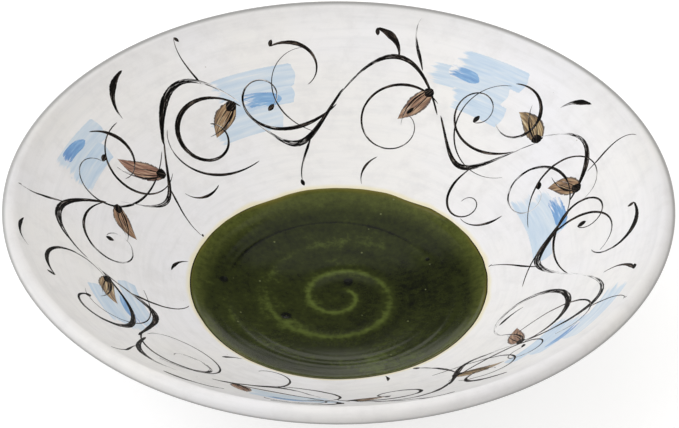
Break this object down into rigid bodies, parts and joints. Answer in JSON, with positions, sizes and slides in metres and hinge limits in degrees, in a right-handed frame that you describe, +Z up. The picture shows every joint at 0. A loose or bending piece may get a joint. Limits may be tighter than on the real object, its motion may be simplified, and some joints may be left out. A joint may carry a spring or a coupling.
{
  "type": "appetizer plate",
  "caption": "Shallow round bowl plate of thrown stoneware on a low foot ring, white glazed, with a green glaze pool over the throwing spiral in its well.",
  "frame": {"origin": "middle of the foot, on the table the plate stands on", "axes": "+Z up along the plate's turning axis; -Y is the near side of the picture and +X its right"},
  "size_m": [0.242, 0.242, 0.0672],
  "materials": {
    "bare_stoneware": "matte",
    "white_glaze": "gloss",
    "green_glaze": "gloss"
  },
  "bodies": {
    "root": {"stoneware_body": "bare_stoneware", "foot_ring": "bare_stoneware", "inner_white_glaze": "white_glaze", "outer_white_glaze": "white_glaze", "green_glaze_pool": "green_glaze"}
  },
  "joints": []
}
